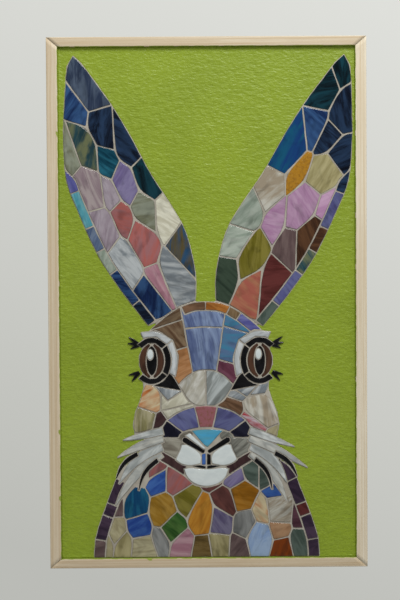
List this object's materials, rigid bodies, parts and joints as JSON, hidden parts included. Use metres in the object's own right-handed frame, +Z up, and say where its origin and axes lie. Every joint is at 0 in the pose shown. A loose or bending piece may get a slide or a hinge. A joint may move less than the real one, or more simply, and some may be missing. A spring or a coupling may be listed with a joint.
{
  "type": "mosaic panel",
  "caption": "Framed wall panel: a hare's head and long ears in cut stained glass and grout on a textured green ground, set in a mitred softwood frame with a hanger behind.",
  "frame": {"origin": "the middle notch of the sawtooth hanger behind the board, where a wall hook bears", "axes": "+Z up, +X to the right of the picture as it is looked at, -Y out of the wall towards the room"},
  "size_m": [0.3, 0.022, 0.5],
  "materials": {
    "pine": "bare pale softwood, planed, fine lengthwise grain",
    "plywood": "unfinished plywood sheet",
    "green_paste": "trowelled acrylic paste in lime green, lumpy and slightly glossy",
    "steel": "zinc plated",
    "mosaic": "streaky and opalescent glass in many colours, laid in a greige cement grout",
    "black_glass": "opaque black glass",
    "white_glass": "opal white glass",
    "brown_glass": "wispy brown glass",
    "turquoise_glass": "wispy turquoise glass",
    "blue_glass": "solid blue glass"
  },
  "bodies": {
    "root": {"frame_rail_left": "pine", "frame_rail_right": "pine", "frame_rail_top": "pine", "frame_rail_bottom": "pine", "backing_board": "plywood", "green_ground": "green_paste", "sawtooth_hanger": "steel", "hanger_screw_left": "steel", "hanger_screw_right": "steel", "left_ear_mosaic": "mosaic", "right_ear_mosaic": "mosaic", "head_mosaic": "mosaic", "chest_mosaic": "mosaic", "left_eye_glint": "white_glass", "left_eye_pupil": "black_glass", "left_eye_iris_outer": "brown_glass", "left_eye_iris_inner": "brown_glass", "left_eye_rim_top": "black_glass", "left_eye_rim_side": "black_glass", "left_eye_rim_bottom": "black_glass", "left_eye_lid_top": "white_glass", "left_eye_lid_side": "white_glass", "left_eye_tear_wedge": "black_glass", "left_eye_lashes_upper": "black_glass", "left_eye_lashes_lower": "black_glass", "right_eye_glint": "white_glass", "right_eye_pupil": "black_glass", "right_eye_iris_outer": "brown_glass", "right_eye_iris_inner": "brown_glass", "right_eye_rim_top": "black_glass", "right_eye_rim_side": "black_glass", "right_eye_rim_bottom": "black_glass", "right_eye_lid_top": "white_glass", "right_eye_lid_side": "white_glass", "right_eye_tear_wedge": "black_glass", "right_eye_lashes_upper": "black_glass", "right_eye_lashes_lower": "black_glass", "nose_tip": "turquoise_glass", "nose_strip": "white_glass", "left_nostril": "black_glass", "right_nostril": "black_glass", "philtrum_left": "blue_glass", "philtrum_right": "black_glass", "left_muzzle_pad": "white_glass", "right_muzzle_pad": "white_glass", "left_mouth_line": "black_glass", "right_mouth_line": "black_glass", "chin": "white_glass", "left_whisker_1": "white_glass", "left_whisker_2": "white_glass", "left_whisker_3": "white_glass", "left_whisker_4": "white_glass", "left_whisker_dark_outer": "black_glass", "left_whisker_dark_inner": "black_glass", "right_whisker_1": "white_glass", "right_whisker_2": "white_glass", "right_whisker_3": "white_glass", "right_whisker_4": "white_glass", "right_whisker_dark_outer": "black_glass", "right_whisker_dark_inner": "black_glass"}
  },
  "joints": []
}
